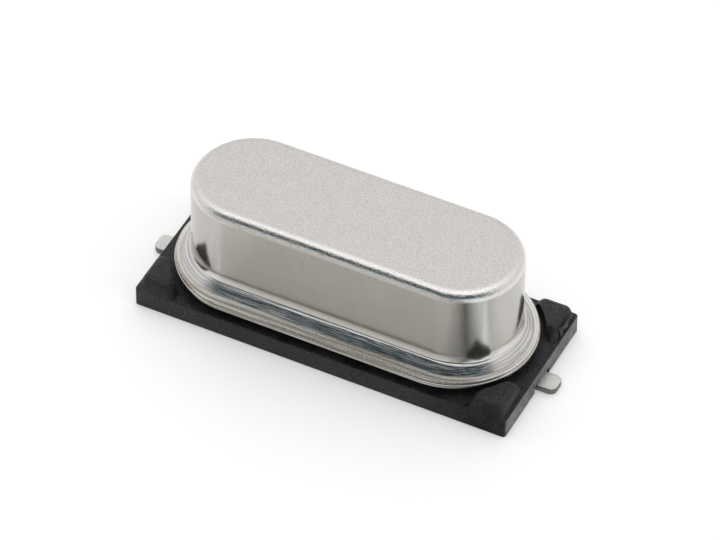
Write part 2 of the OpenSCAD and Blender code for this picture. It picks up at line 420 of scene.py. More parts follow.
def model_can():
    """Drawn can: crown, wall and foot swept as one section, joined with the flange and hollowed."""
    x = STRAIGHT / 2
    crown_bottom = CAN_TOP - CROWN_RADIUS
    sunk = (WELD_FACE + FLANGE_TOP) / 2
    piece = begin_wire("nickel_can", (x, CROWN_RADIUS - CAN_RADIUS, CAN_TOP))
    draw_arc((x, CROWN_RADIUS - CAN_RADIUS, crown_bottom), QUARTER_TURN, CROWN_STEPS)
    draw_line(0, FLARE_TOP - crown_bottom)
    draw_foot(x, sunk)
    sweep_oblong(STRAIGHT)
    close_ring(piece, CAN_TOP)
    close_ring(piece, sunk)
    turn_outwards()
    combine(piece, oblong_rim("flange", RIM_RADIUS - RIM_STEP, WELD_FACE, FLANGE_TOP), "UNION")
    combine(piece, can_hollow(), "DIFFERENCE")
    return place_piece(piece, "can_cover", NICKEL_SHARP)


def model_header():
    """Header: the rim under the can flange joined with the plateau inside the can, drilled for the seals."""
    piece = oblong_rim("welded_header", RIM_RADIUS, SEAT_TOP, WELD_FACE)
    plateau_radius = CAN_RADIUS - CAN_WALL - PLATEAU_GAP
    sunk = (SEAT_TOP + WELD_FACE) / 2
    combine(piece, oblong_block("plateau", STRAIGHT, plateau_radius, sunk, PLATEAU_TOP), "UNION")
    for side in (-1, 1):
        drill(piece, side * PIN_X, WELD_FACE, SEAL_RADIUS, SEAL_HOLE_SIDES)
    return place_piece(piece, "header_plate", NICKEL_SHARP)


def model_post():
    """Corner post at the right back: a block with leaning, rounded sides, cut clear of the header rim."""
    outer_x = BASE_END - POST_INSET
    inner_x = outer_x - POST_RUN
    inner_y = BASE_SIDE - POST_BREADTH
    middle_x = (outer_x + inner_x) / 2
    middle_y = (BASE_SIDE + inner_y) / 2
    top = PLATE_HEIGHT + POST_RISE
    half_way = PLATE_HEIGHT + POST_RISE / 2
    piece = block("post", (inner_x, inner_y, PLATE_HEIGHT), (outer_x, BASE_SIDE, top))
    leans = (
        (lambda p: p.x > middle_x, (-POST_END_LEAN, 0, 0)),
        (lambda p: p.x < middle_x, (POST_LEAN, 0, 0)),
        (lambda p: p.y > middle_y, (0, -POST_LEAN, 0)),
        (lambda p: p.y < middle_y, (0, POST_LEAN, 0)))
    for on_side, shift in leans:
        pick_vertices(piece, lambda p: p.z > half_way and on_side(p))
        bpy.ops.transform.translate(value=shift)
    pick_edges(piece, lambda a, b: max(a.z, b.z) > top - SAME_END)
    round_edges(POST_ROUND, POST_STEPS)
    pick_faces(piece, lambda middle, normal: normal.z < -FACING)
    draw_out((0, 0, -PLATE_HEIGHT / 2))
    turn_outwards()
    clearance = oblong_block(
        "clearance", RIM_STRAIGHT, RIM_RADIUS + POST_GAP, PLATE_HEIGHT, top + OVERREACH)
    combine(piece, clearance, "DIFFERENCE")
    return piece


def model_gate():
    """Stub of the gate: a block whose outer face is broken rough."""
    outer_x = BASE_END - GATE_INSET
    piece = block("gate", (outer_x - GATE_DEPTH, GATE_NEAR, GATE_LOW), (outer_x, GATE_FAR, GATE_HIGH))
    bpy.ops.mesh.subdivide(number_cuts=GATE_CUTS)
    pick_vertices(piece, lambda p: p.x > outer_x - GATE_SKIN)
    bpy.ops.transform.vertex_random(offset=GATE_ROUGHNESS, uniform=0, normal=0, seed=GATE_SEED)
    turn_outwards()
    return piece


def cut_channels(piece):
    """Cuts, at both ends, the pin's hole, the pocket of its bend and the groove of its tab."""
    half_width = GROOVE_WIDTH / 2
    pocket_start = PIN_X - WIRE_RADIUS - PIN_GAP
    for side in (-1, 1):
        drill(piece, side * PIN_X, PLATE_HEIGHT, WIRE_RADIUS + PIN_GAP, PIN_HOLE_SIDES)
        left, right = sorted((side * pocket_start, side * (FLAT_START + PIN_GAP)))
        cut_box(piece, "pocket", (left, -half_width, -OVERREACH), (right, half_width, POCKET_DEPTH))
        left, right = sorted((side * FLAT_START, side * (BASE_END + OVERREACH)))
        cut_box(piece, "groove", (left, -half_width, -OVERREACH), (right, half_width, TAB_THICKNESS))


def model_base():
    """Moulded base: a plate with eased edges, four posts, the header seat, and lead channels underneath."""
    piece = block("moulded_base", (-BASE_END, -BASE_SIDE, 0), (BASE_END, BASE_SIDE, PLATE_HEIGHT))
    pick_edges(piece, lambda a, b: abs(a.z - b.z) > PLATE_HEIGHT / 2)
    round_edges(PLATE_CORNER, PLATE_CORNER_STEPS)
    pick_edges(piece, lambda a, b: abs(a.z - b.z) < SAME_HEIGHT)
    round_edges(PLATE_EDGE, PLATE_EDGE_STEPS)
    turn_outwards()
    post = model_post()
    for turn in ((-1, 1, 1), (1, -1, 1), (-1, -1, 1)):
        combine(piece, mirrored_copy(post, "post_copy", turn), "UNION")
    combine(piece, post, "UNION")
    combine(piece, model_gate(), "UNION")
    seat = oblong_block("seat", RIM_STRAIGHT, RIM_RADIUS - SEAT_INSET, PLATE_HEIGHT / 2, SEAT_TOP)
    combine(piece, seat, "UNION")
    cut_channels(piece)
    return place_piece(piece, "insulator_base", MOULDING_SHARP)


def model_lead():
    """Right lead: a flat tab with a rounded tip, drawn out to the round wire that bends up to the header."""
    piece = block("lead", (FLAT_START, -TAB_WIDTH / 2, 0), (TAB_TIP, TAB_WIDTH / 2, TAB_THICKNESS))
    pick_edges(piece, lambda a, b: min(a.x, b.x) > TAB_TIP - SAME_END and abs(a.z - b.z) > TAB_THICKNESS / 2)
    round_edges(TAB_CORNER, TAB_CORNER_STEPS)
    pick_edges(piece, lambda a, b: abs(a.z - b.z) < SAME_HEIGHT and max(a.x, b.x) > FLAT_START + SAME_END)
    round_edges(TAB_EDGE, TAB_EDGE_STEPS)
    pick_faces(piece, lambda middle, normal: normal.x < -FACING and middle.x < FLAT_START + SAME_END)
    bpy.ops.mesh.delete(type="FACE")
    bend_top = WIRE_RADIUS + BEND_RADIUS
    bpy.ops.mesh.primitive_circle_add(
        vertices=WIRE_SIDES, radius=WIRE_RADIUS, location=(PIN_X, 0, PIN_TOP), fill_type="NGON")
    draw_out((0, 0, bend_top - PIN_TOP))
    bpy.ops.mesh.spin(
        steps=BEND_STEPS, angle=QUARTER_TURN, center=(PIN_X + BEND_RADIUS, 0, bend_top), axis=(0, 1, 0))
    bpy.ops.mesh.delete(type="ONLY_FACE")
    pick_open_edges(piece, lambda a, b: True)
    bpy.ops.mesh.bridge_edge_loops(number_cuts=TAPER_CUTS, interpolation="LINEAR")
    turn_outwards()
    return piece


def model_leads():
    """Both leads: the right one, and its mirrored copy at the left."""
    right = model_lead()
    left = mirrored_copy(right, "tab_lead_left", (-1, 1, 1))
    right.name = "tab_lead_right"
    place_piece(left, "lead_left", TIN_SHARP)
    place_piece(right, "lead_right", TIN_SHARP)
    return left, right


# Helpers for shaders

def add_node(tree, kind, **settings):
    """A node with its properties set."""
    node = tree.nodes.new(kind)
    for key, value in settings.items():
        setattr(node, key, value)
    return node


def add_maths(tree, operation, first, second=0):
    """A maths node; an input is a socket or a plain number."""
    node = add_node(tree, "ShaderNodeMath", operation=operation)
    for socket, value in zip(node.inputs, (first, second)):
        if isinstance(value, (int, float)):
            socket.default_value = value
        else:
            tree.links.new(value, socket)
    return node.outputs[0]


def add_vector_maths(tree, operation, vector):
    """A vector maths node with its first input linked."""
    node = add_node(tree, "ShaderNodeVectorMath", operation=operation)
    tree.links.new(vector, node.inputs[0])
    return node


def add_range(tree, value, span, given):
    """A clamped map range: one span of values brought to another."""
    node = add_node(tree, "ShaderNodeMapRange", clamp=True)
    tree.links.new(value, node.inputs["Value"])
    node.inputs["From Min"].default_value, node.inputs["From Max"].default_value = span
    node.inputs["To Min"].default_value, node.inputs["To Max"].default_value = given
    return node.outputs["Result"]


def add_mask(tree, value, none, full):
    """A mask: nought where the value is at none, one where it is at full."""
    return add_range(tree, value, (none, full), (0, 1))


def add_level(tree, mask, off, on):
    """A level that goes from off to on with a mask."""
    return add_range(tree, mask, (0, 1), (off, on))


def add_mix(tree, factor, first, second):
    """A colour mix; a colour is a socket or a plain colour."""
    node = add_node(tree, "ShaderNodeMix", data_type="RGBA")
    tree.links.new(factor, node.inputs["Factor"])
    for socket, value in ((node.inputs[6], first), (node.inputs[7], second)):
        if isinstance(value, tuple):
            socket.default_value = (*value, 1)
        else:
            tree.links.new(value, socket)
    return node.outputs[2]


def add_noise(tree, vector, scale, detail, roughness=0.5):
    """A noise texture's value; its scale is a socket or a plain number."""
    node = add_node(tree, "ShaderNodeTexNoise")
    tree.links.new(vector, node.inputs["Vector"])
    if isinstance(scale, (int, float)):
        node.inputs["Scale"].default_value = scale
    else:
        tree.links.new(scale, node.inputs["Scale"])
    node.inputs["Detail"].default_value = detail
    node.inputs["Roughness"].default_value = roughness
    return node.outputs["Fac"]


def split(tree, vector):
    """The three parts of a vector."""
    node = add_node(tree, "ShaderNodeSeparateXYZ")
    tree.links.new(vector, node.inputs[0])
    return node.outputs


def surface_direction(tree):
    """The three parts of the direction that the surface faces."""
    return split(tree, add_node(tree, "ShaderNodeTexCoord").outputs["Normal"])


# Shader groups shared by several finishes

def new_group(name, inputs, outputs):
    """An empty shader group: coordinates in millimetres and its own values go in, and values come out."""
    group = bpy.data.node_groups.new(name, "ShaderNodeTree")
    group.interface.new_socket(name="Millimetres", in_out="INPUT", socket_type="NodeSocketVector")
    for label, kind, value in inputs:
        socket = group.interface.new_socket(name=label, in_out="INPUT", socket_type=kind)
        socket.default_value = value
    for label in outputs:
        group.interface.new_socket(name=label, in_out="OUTPUT", socket_type="NodeSocketFloat")
    given = add_node(group, "NodeGroupInput").outputs
    result = add_node(group, "NodeGroupOutput").inputs
    return group, given, result


def give_lines(group, noise, result):
    """Gives out a noise as it is, and as a sharper mask of lines."""
    group.links.new(noise, result["Streak"])
    group.links.new(add_mask(group, noise, none=0.42, full=0.58), result["Lines"])


def build_grain_group():
    """Fine grain: a mottled value and a rough height."""
    group, given, result = new_group(
        "fine_grain", [("Scale", "NodeSocketFloat", 20.0)], ["Mottle", "Height"])
    fine = add_noise(group, given["Millimetres"], given["Scale"], detail=3)
    coarse = add_noise(group, given["Millimetres"], scale=1.4, detail=3)
    mottle = add_maths(group, "MULTIPLY", add_maths(group, "ADD", fine, coarse), 0.5)
    group.links.new(mottle, result["Mottle"])
    group.links.new(fine, result["Height"])
    return group


def build_streak_group():
    """Streaks: noise drawn out along the axes on which Stretch is small."""
    group, given, result = new_group(
        "drawn_streaks", [("Stretch", "NodeSocketVector", (0.3, 0.3, 20.0))], ["Streak", "Lines"])
    stretched = add_vector_maths(group, "MULTIPLY", given["Millimetres"])
    group.links.new(given["Stretch"], stretched.inputs[1])
    noise = add_noise(group, stretched.outputs["Vector"], scale=1.0, detail=4, roughness=0.6)
    give_lines(group, noise, result)
    return group


def build_rolled_group():
    """Rolled lines: noise drawn out round an oblong of a given straight length."""
    group, given, result = new_group(
        "rolled_lines",
        [("Straight", "NodeSocketFloat", 6.0), ("Fineness", "NodeSocketFloat", 20.0)], ["Streak", "Lines"])
    place = split(group, given["Millimetres"])
    half_run = add_maths(group, "MULTIPLY", given["Straight"], 0.5)
    past_end = add_maths(group, "SUBTRACT", add_maths(group, "ABSOLUTE", place["X"]), half_run)
    past_end = add_maths(group, "MAXIMUM", past_end, 0)
    squares = add_maths(
        group, "ADD", add_maths(group, "POWER", past_end, 2), add_maths(group, "POWER", place["Y"], 2))
    reach = add_maths(group, "POWER", squares, 0.5)
    along = add_maths(group, "ADD", place["X"], place["Y"])
    route = add_node(group, "ShaderNodeCombineXYZ")
    group.links.new(add_maths(group, "MULTIPLY", reach, given["Fineness"]), route.inputs["X"])
    group.links.new(add_maths(group, "MULTIPLY", place["Z"], given["Fineness"]), route.inputs["Y"])
    group.links.new(add_maths(group, "MULTIPLY", along, 0.3), route.inputs["Z"])
    noise = add_noise(group, route.outputs[0], scale=1.0, detail=3, roughness=0.6)
    give_lines(group, noise, result)
    return group


def build_speck_group():
    """Specks: sparse small spots, as a mask."""
    group, given, result = new_group("sparse_specks", [("Scale", "NodeSocketFloat", 3.0)], ["Specks"])
    spots = add_node(group, "ShaderNodeTexVoronoi", feature="F1")
    group.links.new(given["Millimetres"], spots.inputs["Vector"])
    group.links.new(given["Scale"], spots.inputs["Scale"])
    patches = add_noise(group, given["Millimetres"], scale=2.3, detail=2)
    chosen = add_mask(group, patches, none=0.5, full=0.62)
    near = add_mask(group, spots.outputs["Distance"], none=0.24, full=0.08)
    group.links.new(add_maths(group, "MULTIPLY", near, chosen), result["Specks"])
    return group


def use_group(tree, group, millimetres, **values):
    """The outputs of a shared group, placed in a material with its own values."""
    node = add_node(tree, "ShaderNodeGroup", node_tree=group)
    tree.links.new(millimetres, node.inputs["Millimetres"])
    for label, value in values.items():
        node.inputs[label].default_value = value
    return node.outputs


# Finishes

def new_finish(name):
    """A material with its node tree, the inputs of its shader, and object coordinates in millimetres."""
    material = bpy.data.materials.new(name)
    material.use_nodes = True
    tree = material.node_tree
    scaled = add_node(tree, "ShaderNodeMapping")
    tree.links.new(add_node(tree, "ShaderNodeTexCoord").outputs["Object"], scaled.inputs["Vector"])
    scaled.inputs["Scale"].default_value = (1 / MILLIMETRE, 1 / MILLIMETRE, 1 / MILLIMETRE)
    return material, tree, tree.nodes["Principled BSDF"].inputs, scaled.outputs["Vector"]


def mottled(tree, grain, low, high):
    """A level that wanders between two values with the mottle of a grain."""
    return add_range(tree, grain["Mottle"], (0.3, 0.7), (low, high))


def add_bump(tree, surface, height, strength, distance):
    """A bump on the shader's normal; the distance is in millimetres."""
    node = add_node(tree, "ShaderNodeBump")
    node.inputs["Strength"].default_value = strength
    node.inputs["Distance"].default_value = distance * MILLIMETRE
    tree.links.new(height, node.inputs["Height"])
    tree.links.new(node.outputs["Normal"], surface["Normal"])


def wall_tone(tree, grain, drawn, height):
    """Colour of the can's wall: mottled, with faint drawn streaks, and paler where it flares."""
    dark, pale = (0.45, 0.437, 0.41), (0.545, 0.53, 0.50)
    streak, flare = (0.42, 0.39, 0.35), (0.68, 0.66, 0.625)
    tone = add_mix(tree, grain["Mottle"], dark, pale)
    tone = add_mix(tree, add_range(tree, drawn["Streak"], (0.45, 0.7), (0, 0.14)), tone, streak)
    return add_mix(tree, add_mask(tree, height, none=FLARE_TOP, full=FLARE_TOP - 0.04), tone, flare)


def ledge_tone(tree, fine, rolled):
    """Colour of the level ledge of the flange: rolled lines with sparkling grains."""
    dark, pale, spark = (0.36, 0.33, 0.285), (0.72, 0.70, 0.665), (0.88, 0.87, 0.85)
    sparkle = add_range(tree, fine["Height"], (0.56, 0.66), (0, 0.6))
    return add_mix(tree, sparkle, add_mix(tree, rolled["Lines"], dark, pale), spark)


def can_finish():
    """Satin nickel: grained roof and crown with a painted highlight along the crown, bright drawn walls with
    specks, rolled lines round the foot.
    """
    roof_dark, roof_pale, painted_crown_highlight = (0.345, 0.332, 0.32), (0.85, 0.823, 0.795), (0.82, 0.80, 0.77)
    foot_dark, foot_pale, speck_tone = (0.46, 0.45, 0.435), (0.68, 0.675, 0.665), (0.20, 0.18, 0.16)
    material, tree, surface, millimetres = new_finish("satin_nickel")
    grain = use_group(tree, GRAIN, millimetres, Scale=15.0)
    fine = use_group(tree, GRAIN, millimetres, Scale=21.0)
    rolled = use_group(tree, ROLLED, millimetres, Straight=STRAIGHT, Fineness=24.0)
    drawn = use_group(tree, STREAKS, millimetres, Stretch=(3.0, 3.0, 0.4))
    specks = use_group(tree, SPECKS, millimetres, Scale=7.5)
    height = split(tree, millimetres)["Z"]

    level = add_mask(tree, surface_direction(tree)["Z"], none=0.9, full=0.995)
    high = add_mask(tree, height, none=CAN_TOP - 0.16, full=CAN_TOP - 0.06)
    roof = add_maths(tree, "MULTIPLY", level, high)
    crown = add_mask(tree, height, none=CAN_TOP - 1.1 * CROWN_RADIUS, full=CAN_TOP - 0.8 * CROWN_RADIUS)
    foot = add_mask(tree, height, none=LIP_TOP + 0.045, full=LIP_TOP + 0.02)
    ledge = add_mask(tree, height, none=FLANGE_TOP + 0.015, full=FLANGE_TOP + 0.005)
    wall = add_maths(tree, "SUBTRACT", add_maths(tree, "SUBTRACT", 1, crown), foot)
    # Painted highlight: below the roof, the crown's colour is painted paler where the ceiling's highlight
    # runs along it.
    edge = add_maths(tree, "MULTIPLY", crown, add_level(tree, roof, off=0.5, on=0))

    roof_tone = add_mix(tree, fine["Height"], roof_dark, roof_pale)
    foot_tone = add_mix(tree, rolled["Lines"], foot_dark, foot_pale)
    tone = add_mix(tree, crown, wall_tone(tree, grain, drawn, height), roof_tone)
    tone = add_mix(tree, edge, tone, painted_crown_highlight)
    tone = add_mix(tree, foot, tone, foot_tone)
    tone = add_mix(tree, ledge, tone, ledge_tone(tree, fine, rolled))
    speck = add_maths(tree, "MULTIPLY", specks["Specks"], add_maths(tree, "MULTIPLY", wall, 0.4))
    tree.links.new(add_mix(tree, speck, tone, speck_tone), surface["Base Color"])

    rough = add_maths(
        tree, "ADD", add_level(tree, roof, off=0.12, on=0.34), add_level(tree, ledge, off=0, on=0.32))
    rough = add_maths(tree, "ADD", rough, add_maths(tree, "MULTIPLY", grain["Mottle"], 0.08))
    tree.links.new(rough, surface["Roughness"])
    surface["Metallic"].default_value = 1

    depth = add_maths(
        tree, "ADD", add_level(tree, crown, off=0.05, on=1.6), add_level(tree, roof, off=0, on=-1.0))
    grains = add_maths(tree, "MULTIPLY", add_maths(tree, "SUBTRACT", fine["Height"], 0.5), depth)
    lines = add_maths(tree, "SUBTRACT", rolled["Streak"], 0.5)
    lines = add_maths(tree, "MULTIPLY", lines, add_level(tree, foot, off=0, on=1.6))
    add_bump(tree, surface, add_maths(tree, "ADD", grains, lines), strength=0.6, distance=0.014)
    return material


def header_finish():
    """Nickel of the welded rim: lines rolled along its edge, and dull weld spots."""
    dark, pale, dull = (0.40, 0.37, 0.33), (0.62, 0.61, 0.59), (0.30, 0.27, 0.24)
    material, tree, surface, millimetres = new_finish("rim_nickel")
    grain = use_group(tree, GRAIN, millimetres, Scale=12.0)
    rolled = use_group(tree, ROLLED, millimetres, Straight=RIM_STRAIGHT, Fineness=22.0)
    weld_spots = add_range(tree, grain["Mottle"], (0.52, 0.62), (0, 0.4))
    tone = add_mix(tree, weld_spots, add_mix(tree, rolled["Lines"], dark, pale), dull)
    tree.links.new(tone, surface["Base Color"])
    tree.links.new(mottled(tree, grain, low=0.16, high=0.34), surface["Roughness"])
    surface["Metallic"].default_value = 1
    add_bump(tree, surface, rolled["Streak"], strength=0.5, distance=0.012)
    return material


def lead_finish():
    """Dull tin plate on the leads, with painted shade: the side faces are painted dark."""
    dark, pale, streak = (0.44, 0.43, 0.41), (0.84, 0.83, 0.81), (0.42, 0.41, 0.39)
    side_shade_dark, side_shade_pale = (0.10, 0.095, 0.09), (0.26, 0.25, 0.235)
    material, tree, surface, millimetres = new_finish("tin_plate")
    grain = use_group(tree, GRAIN, millimetres, Scale=14.0)
    streaks = use_group(tree, STREAKS, millimetres, Stretch=(1.2, 14.0, 14.0))
    tone = add_mix(tree, grain["Mottle"], dark, pale)
    tone = add_mix(tree, add_maths(tree, "MULTIPLY", streaks["Lines"], 0.3), tone, streak)
    # Painted shade: faces that point neither up nor down take a dark tone, standing in for the shade the tab
    # sides mirror from the floor.
    slant = add_maths(tree, "ABSOLUTE", surface_direction(tree)["Z"])
    flat = add_mask(tree, slant, none=0.35, full=0.75)
    painted_side_shade = add_mix(tree, grain["Mottle"], side_shade_dark, side_shade_pale)
    tree.links.new(add_mix(tree, flat, painted_side_shade, tone), surface["Base Color"])
    tree.links.new(mottled(tree, grain, low=0.30, high=0.5), surface["Roughness"])
    surface["Metallic"].default_value = 1
    add_bump(tree, surface, grain["Height"], strength=0.5, distance=0.012)
    return material


def base_finish():
    """Black moulded plastic: a matt grain, pale dust specks, and a painted sheen in pale streaks on the lower
    end faces.
    """
    dark, pale = (0.001, 0.001, 0.0015), (0.022, 0.0225, 0.0265)
    dust, painted_end_sheen = (0.22, 0.22, 0.22), (0.21, 0.20, 0.185)
    material, tree, surface, millimetres = new_finish("black_moulding")
    grain = use_group(tree, GRAIN, millimetres, Scale=9.0)
    fine = use_group(tree, GRAIN, millimetres, Scale=14.0)
    streaks = use_group(tree, STREAKS, millimetres, Stretch=(0.6, 7.0, 4.5))
    specks = use_group(tree, SPECKS, millimetres, Scale=6.5)
    tone = add_mix(tree, add_mask(tree, fine["Mottle"], none=0.36, full=0.64), dark, pale)
    tone = add_mix(tree, add_maths(tree, "MULTIPLY", specks["Specks"], 0.3), tone, dust)
    # Painted sheen: the lower end faces are painted pale in streaks, where the light from the side falls on
    # them.
    endwards = add_maths(tree, "ABSOLUTE", surface_direction(tree)["X"])
    low = add_mask(tree, split(tree, millimetres)["Z"], none=PLATE_HEIGHT + 0.02, full=PLATE_HEIGHT - 0.04)
    end_face = add_maths(tree, "MULTIPLY", add_mask(tree, endwards, none=0.8, full=0.97), low)
    painted_sheen_amount = add_range(tree, streaks["Streak"], (0.35, 0.65), (0.3, 0.85))
    tone = add_mix(tree, add_maths(tree, "MULTIPLY", end_face, painted_sheen_amount), tone, painted_end_sheen)
    tree.links.new(tone, surface["Base Color"])
    tree.links.new(mottled(tree, grain, low=0.42, high=0.66), surface["Roughness"])
    surface["Specular IOR Level"].default_value = 0.4
    relief = add_maths(tree, "ADD", grain["Height"], add_maths(tree, "MULTIPLY", fine["Height"], 0.7))
    add_bump(tree, surface, relief, strength=0.8, distance=0.035)
    return material


def wear_grain(tree, surface, grain, dark, pale, smooth, rough):
    """Lets the colour and the roughness of a finish follow one grain."""
    tree.links.new(add_mix(tree, grain["Mottle"], dark, pale), surface["Base Color"])
    tree.links.new(mottled(tree, grain, low=smooth, high=rough), surface["Roughness"])


def seal_finish():
    """Sealing glass, pale green and a little cloudy."""
    material, tree, surface, millimetres = new_finish("seal_glass")
    grain = use_group(tree, GRAIN, millimetres, Scale=6.0)
    wear_grain(tree, surface, grain, dark=(0.30, 0.40, 0.36), pale=(0.50, 0.58, 0.52),
               smooth=0.06, rough=0.16)
    surface["Transmission Weight"].default_value = 0.5
    return material


def clip_finish():
    """Thin spring sheet of the clips, with rolling lines."""
    dark, pale = (0.50, 0.48, 0.44), (0.70, 0.68, 0.64)
    material, tree, surface, millimetres = new_finish("clip_sheet")
    streaks = use_group(tree, STREAKS, millimetres, Stretch=(18.0, 18.0, 0.8))
    tree.links.new(add_mix(tree, streaks["Streak"], dark, pale), surface["Base Color"])
    tree.links.new(add_range(tree, streaks["Streak"], (0.3, 0.7), (0.2, 0.34)), surface["Roughness"])
    surface["Metallic"].default_value = 1
    return material


def quartz_finish():
    """Lapped quartz strip: clear, with a fine ground face."""
    material, tree, surface, millimetres = new_finish("lapped_quartz")
    grain = use_group(tree, GRAIN, millimetres, Scale=22.0)
    wear_grain(tree, surface, grain, dark=(0.78, 0.80, 0.80), pale=(0.93, 0.95, 0.95),
               smooth=0.12, rough=0.3)
    surface["Transmission Weight"].default_value = 0.8
    surface["IOR"].default_value = 1.54
    return material


def electrode_finish():
    """Silver film on the strip, slightly clouded."""
    material, tree, surface, millimetres = new_finish("silver_film")
    grain = use_group(tree, GRAIN, millimetres, Scale=18.0)
    wear_grain(tree, surface, grain, dark=(0.76, 0.75, 0.72), pale=(0.92, 0.91, 0.89),
               smooth=0.15, rough=0.3)
    surface["Metallic"].default_value = 1
    return material


def adhesive_finish():
    """Silver-filled adhesive: grainy grey beads."""
    material, tree, surface, millimetres = new_finish("silver_adhesive")
    grain = use_group(tree, GRAIN, millimetres, Scale=26.0)
    wear_grain(tree, surface, grain, dark=(0.32, 0.32, 0.31), pale=(0.58, 0.57, 0.55),
               smooth=0.4, rough=0.65)
    tree.links.new(add_range(tree, grain["Height"], (0.4, 0.6), (0.3, 0.9)), surface["Metallic"])
    add_bump(tree, surface, grain["Height"], strength=0.6, distance=0.02)
    return material


def wear(piece, material):
    """Gives a piece or a solid one finish."""
    piece.data.materials.clear()
    piece.data.materials.append(material)


# Studio

def camera_axes():
    """The camera's right, up and backward directions."""
    azimuth, elevation = math.radians(CAMERA_AZIMUTH), math.radians(CAMERA_ELEVATION)
    level = math.cos(elevation)
    back = Vector((math.sin(azimuth) * level, -math.cos(azimuth) * level, math.sin(elevation)))
    right = Vector((0, 0, 1)).cross(back).normalized()
    turn = Matrix.Rotation(math.radians(CAMERA_ROLL), 3, back)
    return turn @ right, turn @ back.cross(right), back


def place_camera():
    """The camera of the picture."""
    right, up, back = camera_axes()
    data = bpy.data.cameras.new("camera")
    data.lens = CAMERA_LENS
    data.sensor_width = CAMERA_SENSOR
    data.clip_start = CAMERA_CLIP * MILLIMETRE
    camera = bpy.data.objects.new("camera", data)
    bpy.context.collection.objects.link(camera)
    turn = Matrix((right, up, back)).transposed()
    place = (Vector(CAMERA_TARGET) + back * CAMERA_DISTANCE) * MILLIMETRE
    camera.matrix_world = Matrix.Translation(place) @ turn.to_4x4()
    bpy.context.scene.camera = camera


def softbox(name, direction, width, height, brightness, colour=WHITE):
    """A rectangular lamp that faces the object; sizes in millimetres, brightness as radiance."""
    data = bpy.data.lights.new(name, "AREA")
    data.shape = "RECTANGLE"
    data.size = width * MILLIMETRE
    data.size_y = height * MILLIMETRE
    data.energy = brightness * math.pi * data.size * data.size_y
    data.color = colour
    lamp = bpy.data.objects.new(name, data)
    bpy.context.collection.objects.link(lamp)
    toward = Vector(direction).normalized()
    lamp.location = toward * LAMP_DISTANCE * MILLIMETRE
    lamp.rotation_euler = toward.to_track_quat("Z", "Y").to_euler()
    lamp.visible_glossy = False


def glow_finish(name, near, far, softness):
    """A glow for a card one unit across, graded along it; its edges fade along and across."""
    material = bpy.data.materials.new(name)
    material.use_nodes = True
    tree = material.node_tree
    tree.nodes.clear()
    place = split(tree, add_node(tree, "ShaderNodeTexCoord").outputs["Object"])
    cover = [
        add_mask(tree, add_maths(tree, "ABSOLUTE", place[axis]), none=0.5, full=0.5 - fade)
        for axis, fade in zip("XY", softness)]
    glow = add_node(tree, "ShaderNodeEmission")
    tone = add_mix(tree, add_mask(tree, place["X"], none=-0.5, full=0.5), near, far)
    tree.links.new(tone, glow.inputs["Color"])
    blend = add_node(tree, "ShaderNodeMixShader")
    tree.links.new(add_maths(tree, "MULTIPLY", *cover), blend.inputs[0])
    tree.links.new(add_node(tree, "ShaderNodeBsdfTransparent").outputs[0], blend.inputs[1])
    tree.links.new(glow.outputs[0], blend.inputs[2])
    output = add_node(tree, "ShaderNodeOutputMaterial")
    tree.links.new(blend.outputs[0], output.inputs["Surface"])
    return material


def mirrored_only(card):
    """Leaves a card to be seen in the metal and nowhere else."""
    card.visible_camera = False
    card.visible_diffuse = False
    card.visible_shadow = False
    card.visible_transmission = False


def flat_card(name, middle, bearing, size, softness, near, far=None):
    """A level card along a bearing in degrees; its colour goes from near to far along it, if far is given."""
    clear_selection()
    bpy.ops.mesh.primitive_plane_add(size=1, location=[value * MILLIMETRE for value in middle])
    card = bpy.context.active_object
    card.name = name
    card.scale = (size[0] * MILLIMETRE, size[1] * MILLIMETRE, 1)
    card.rotation_euler = (0, 0, math.radians(bearing))
    wear(card, glow_finish(name, near, far or near, softness))
    mirrored_only(card)


def lay_cards():
    """Glowing cards on the floor that only the metal shows, as painted reflections: painted shade in front,
    and painted dark and light strips at the ends.
    """
    flat_card("far_shade_card", middle=(-4, -15, 0.01), bearing=-90, size=(20, 44),
              softness=(0.15, 0.2), near=(0.76, 0.75, 0.72), far=(0.2, 0.2, 0.19))
    flat_card("front_shade_card", middle=(0.3, -4.9, 0.02), bearing=-90, size=(5.2, 12.4),
              softness=(0.2, 0.2), near=(0.49, 0.48, 0.46), far=(0.85, 0.84, 0.81))
    # Painted shadow: a dark band of shadow on the floor to the front right, seen only in the metal.
    flat_card("painted_shadow_band_card", middle=(5.70, -3.87, 0.04), bearing=-65, size=(6.0, 4.4),
              softness=(0.15, 0.5), near=(0.16, 0.165, 0.16))
    flat_card("right_shade_card", middle=(7.25, -1.8, 0.05), bearing=-26, size=(4.0, 3.0),
              softness=(0.15, 0.45), near=(0.78, 0.79, 0.78))
    # Painted reflection: a strip of window light on the floor, seen only in the metal.
    flat_card("painted_window_reflection_card", middle=(7.08, -2.1, 0.06), bearing=-26, size=(3.6, 1.1),
              softness=(0.15, 0.5), near=(1.1, 1.24, 1.3))
    # Painted shade: a dark patch round the window glint, seen only in the metal.
    flat_card("painted_shade_patch_card", middle=(7.2, -11.4, 0.03), bearing=-72, size=(10, 5.6),
              softness=(0.12, 0.15), near=(0.12, 0.125, 0.12))
    # Painted glint: window light at the right corner, seen only in the metal.
    flat_card("painted_corner_glint_card", middle=(12.4, -8.2, 0.07), bearing=-40, size=(7.6, 6.0),
              softness=(0.15, 0.15), near=WINDOW_LIGHT)
    # Painted highlight: a light line at the left, seen only in the metal.
    flat_card("painted_highlight_line_card", middle=(-5.1, -3.7, 0.08), bearing=-132, size=(3.0, 0.5),
              softness=(0.3, 0.5), near=(1.0, 1.03, 1.05))


